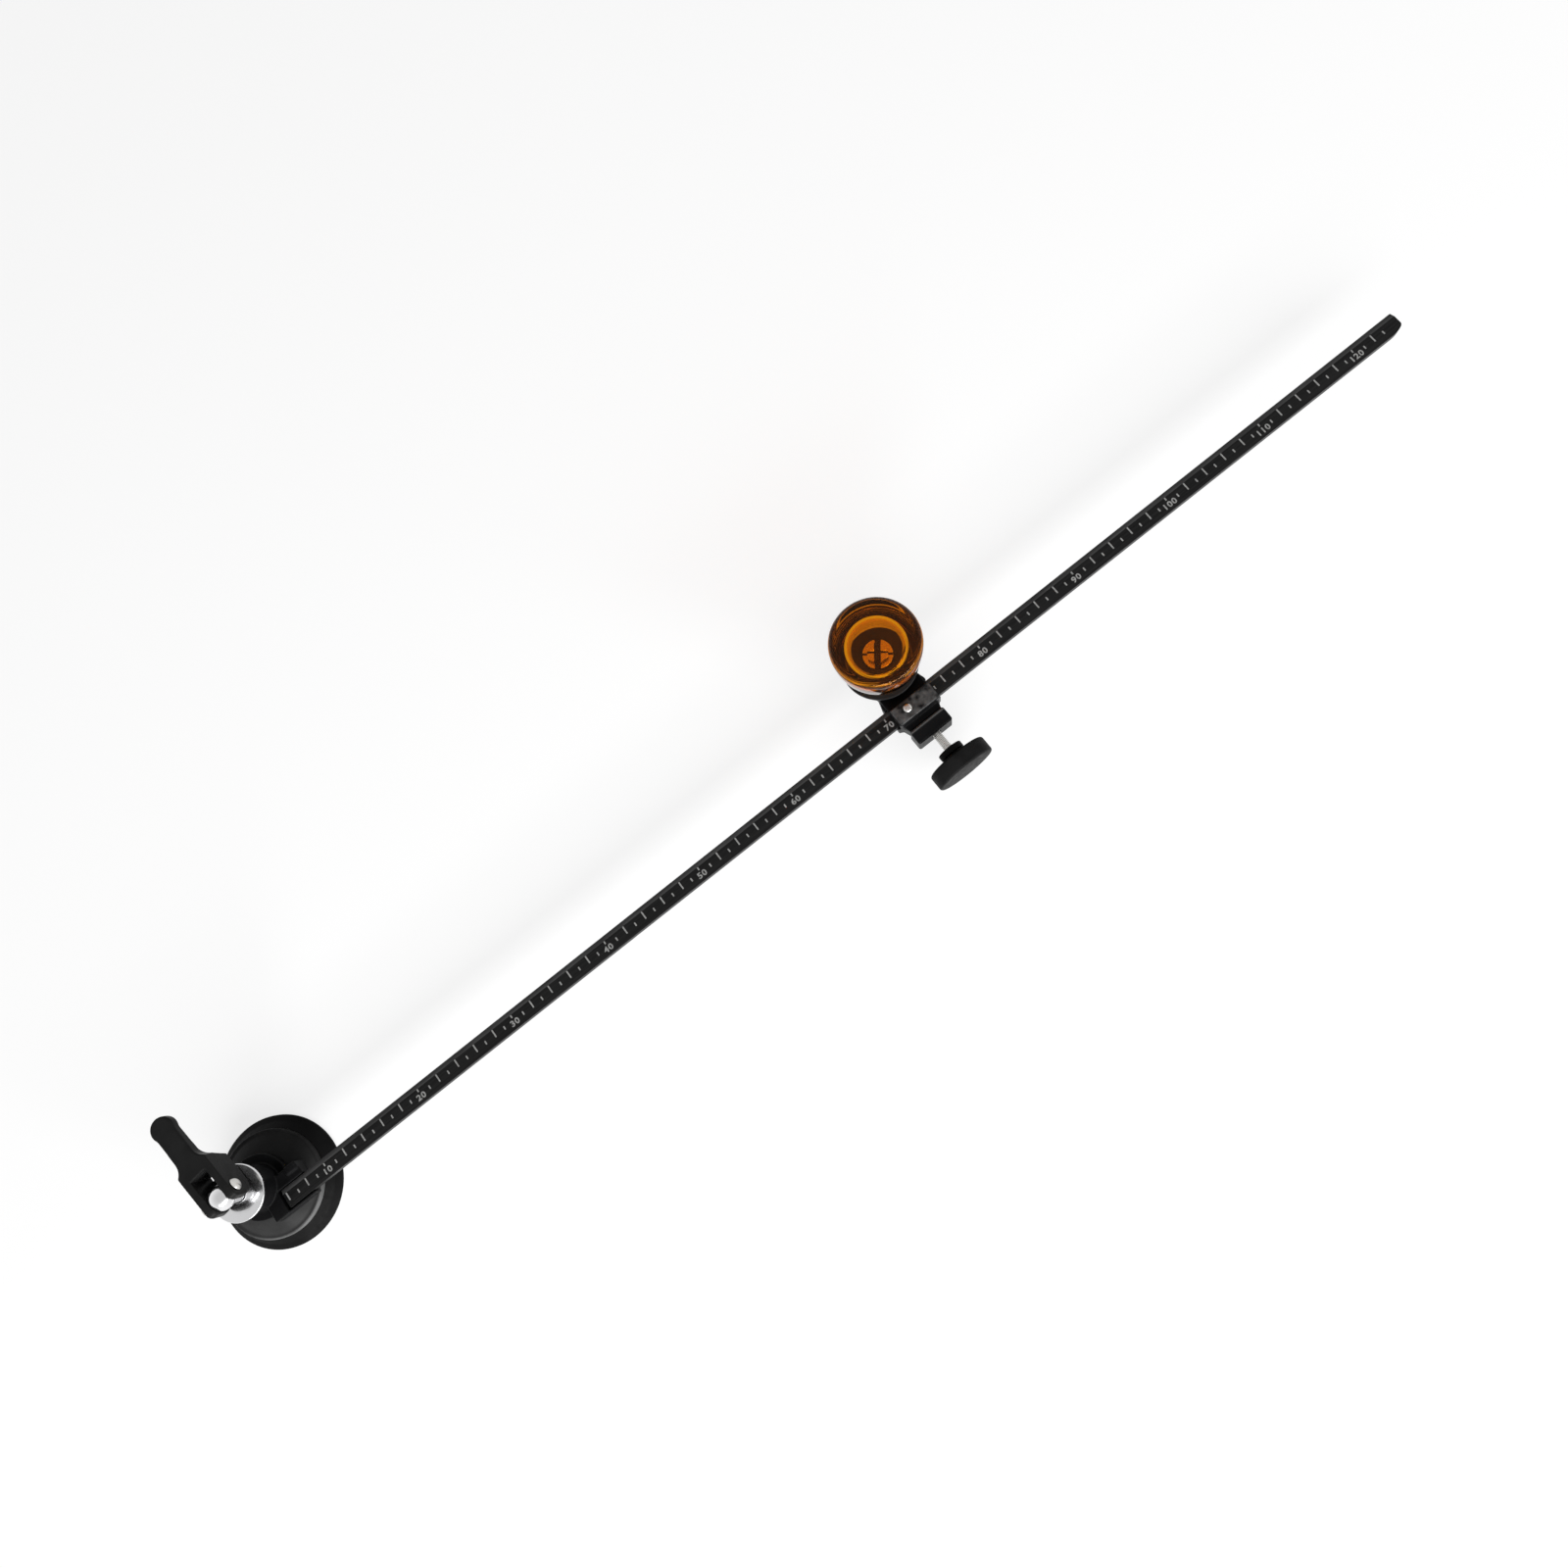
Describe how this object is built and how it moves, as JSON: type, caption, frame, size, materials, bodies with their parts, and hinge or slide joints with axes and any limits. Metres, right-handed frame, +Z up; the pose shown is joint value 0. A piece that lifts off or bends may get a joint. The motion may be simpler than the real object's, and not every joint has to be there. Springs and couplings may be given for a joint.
{
  "type": "glass circle cutter",
  "caption": "Suction cup with a cam lever, a graduated beam that turns about it, and a sliding carriage with clamp screw, round grip and cutting wheel.",
  "frame": {"origin": "on the glass, on the turning axis of the suction cup, which is the centre of the circle that is cut", "axes": "+X along the beam from the cup to its free end, +Y to the side of the beam that the grip and the wheel are on, +Z up from the glass"},
  "size_m": [0.6321, 0.0903, 0.0599],
  "materials": {
    "rubber": "satin moulded rubber",
    "black_plastic": "smooth moulded",
    "black_casting": "black painted zinc casting",
    "black_anodised": "black anodised",
    "chrome": "polished chrome plate",
    "steel": "turned steel",
    "brass": "turned brass",
    "amber": "clear amber acrylic"
  },
  "bodies": {
    "cup": {"suction_pad": "rubber", "cup_cover": "black_plastic", "thrust_ring": "chrome"},
    "stud": {"pull_stud": "chrome", "pad_insert": "steel", "lever_pin": "steel", "pin_clip": "steel"},
    "lever": {"cam_lever": "black_plastic"},
    "swing": {"pivot_bracket": "black_casting", "pivot_bush": "brass", "beam_screw_inner": "steel", "beam_screw_outer": "steel", "beam": "black_anodised"},
    "slider": {"carriage": "black_casting", "play_screw": "steel", "wheel_holder": "steel", "lock_screw": "steel", "wheel_axle": "steel", "grip_post": "brass"},
    "grip": {"grip_bush": "brass", "grip_base": "black_plastic", "amber_grip": "amber"},
    "wheel": {"cutting_wheel": "steel"},
    "shoe": {"clamp_shoe": "brass"},
    "clamp": {"clamp_screw": "steel", "clamp_knob": "black_plastic"}
  },
  "joints": [
    {"name": "stud_drop", "type": "slide", "parent": "cup", "child": "stud", "axis": [0, 0, -1], "range_m": [0, 0.0056], "deforming": ["suction_pad"]},
    {"name": "lever_flip", "type": "hinge", "parent": "stud", "child": "lever", "pos_m": [0, 0, 0.046], "axis": [0.9921, 0.1253, 0], "range_deg": [0, 90]},
    {"name": "beam_swing", "type": "hinge", "parent": "cup", "child": "swing", "pos_m": [0, 0, 0.022], "axis": [0, 0, 1], "continuous": true},
    {"name": "carriage_slide", "type": "slide", "parent": "swing", "child": "slider", "axis": [1, 0, 0], "range_m": [-0.2786, 0.2454]},
    {"name": "grip_turn", "type": "hinge", "parent": "slider", "child": "grip", "pos_m": [0.3436, 0.0095, 0.024], "axis": [0, 0, 1], "continuous": true},
    {"name": "wheel_spin", "type": "hinge", "parent": "slider", "child": "wheel", "pos_m": [0.3436, 0.0095, 0.003], "axis": [1, 0, 0], "continuous": true},
    {"name": "shoe_slide", "type": "slide", "parent": "slider", "child": "shoe", "axis": [0, -1, 0], "range_m": [0, 0.0014]},
    {"name": "clamp_turn", "type": "hinge", "parent": "shoe", "child": "clamp", "pos_m": [0.3436, -0.0189, 0.0201], "axis": [0, -1, 0], "range_deg": [0, 720]}
  ],
  "couplings": [
    {"joint": "stud_drop", "follows": "lever_flip", "m_per_rad": 0.003565},
    {"joint": "shoe_slide", "follows": "clamp_turn", "m_per_rad": 0.0001114}
  ]
}
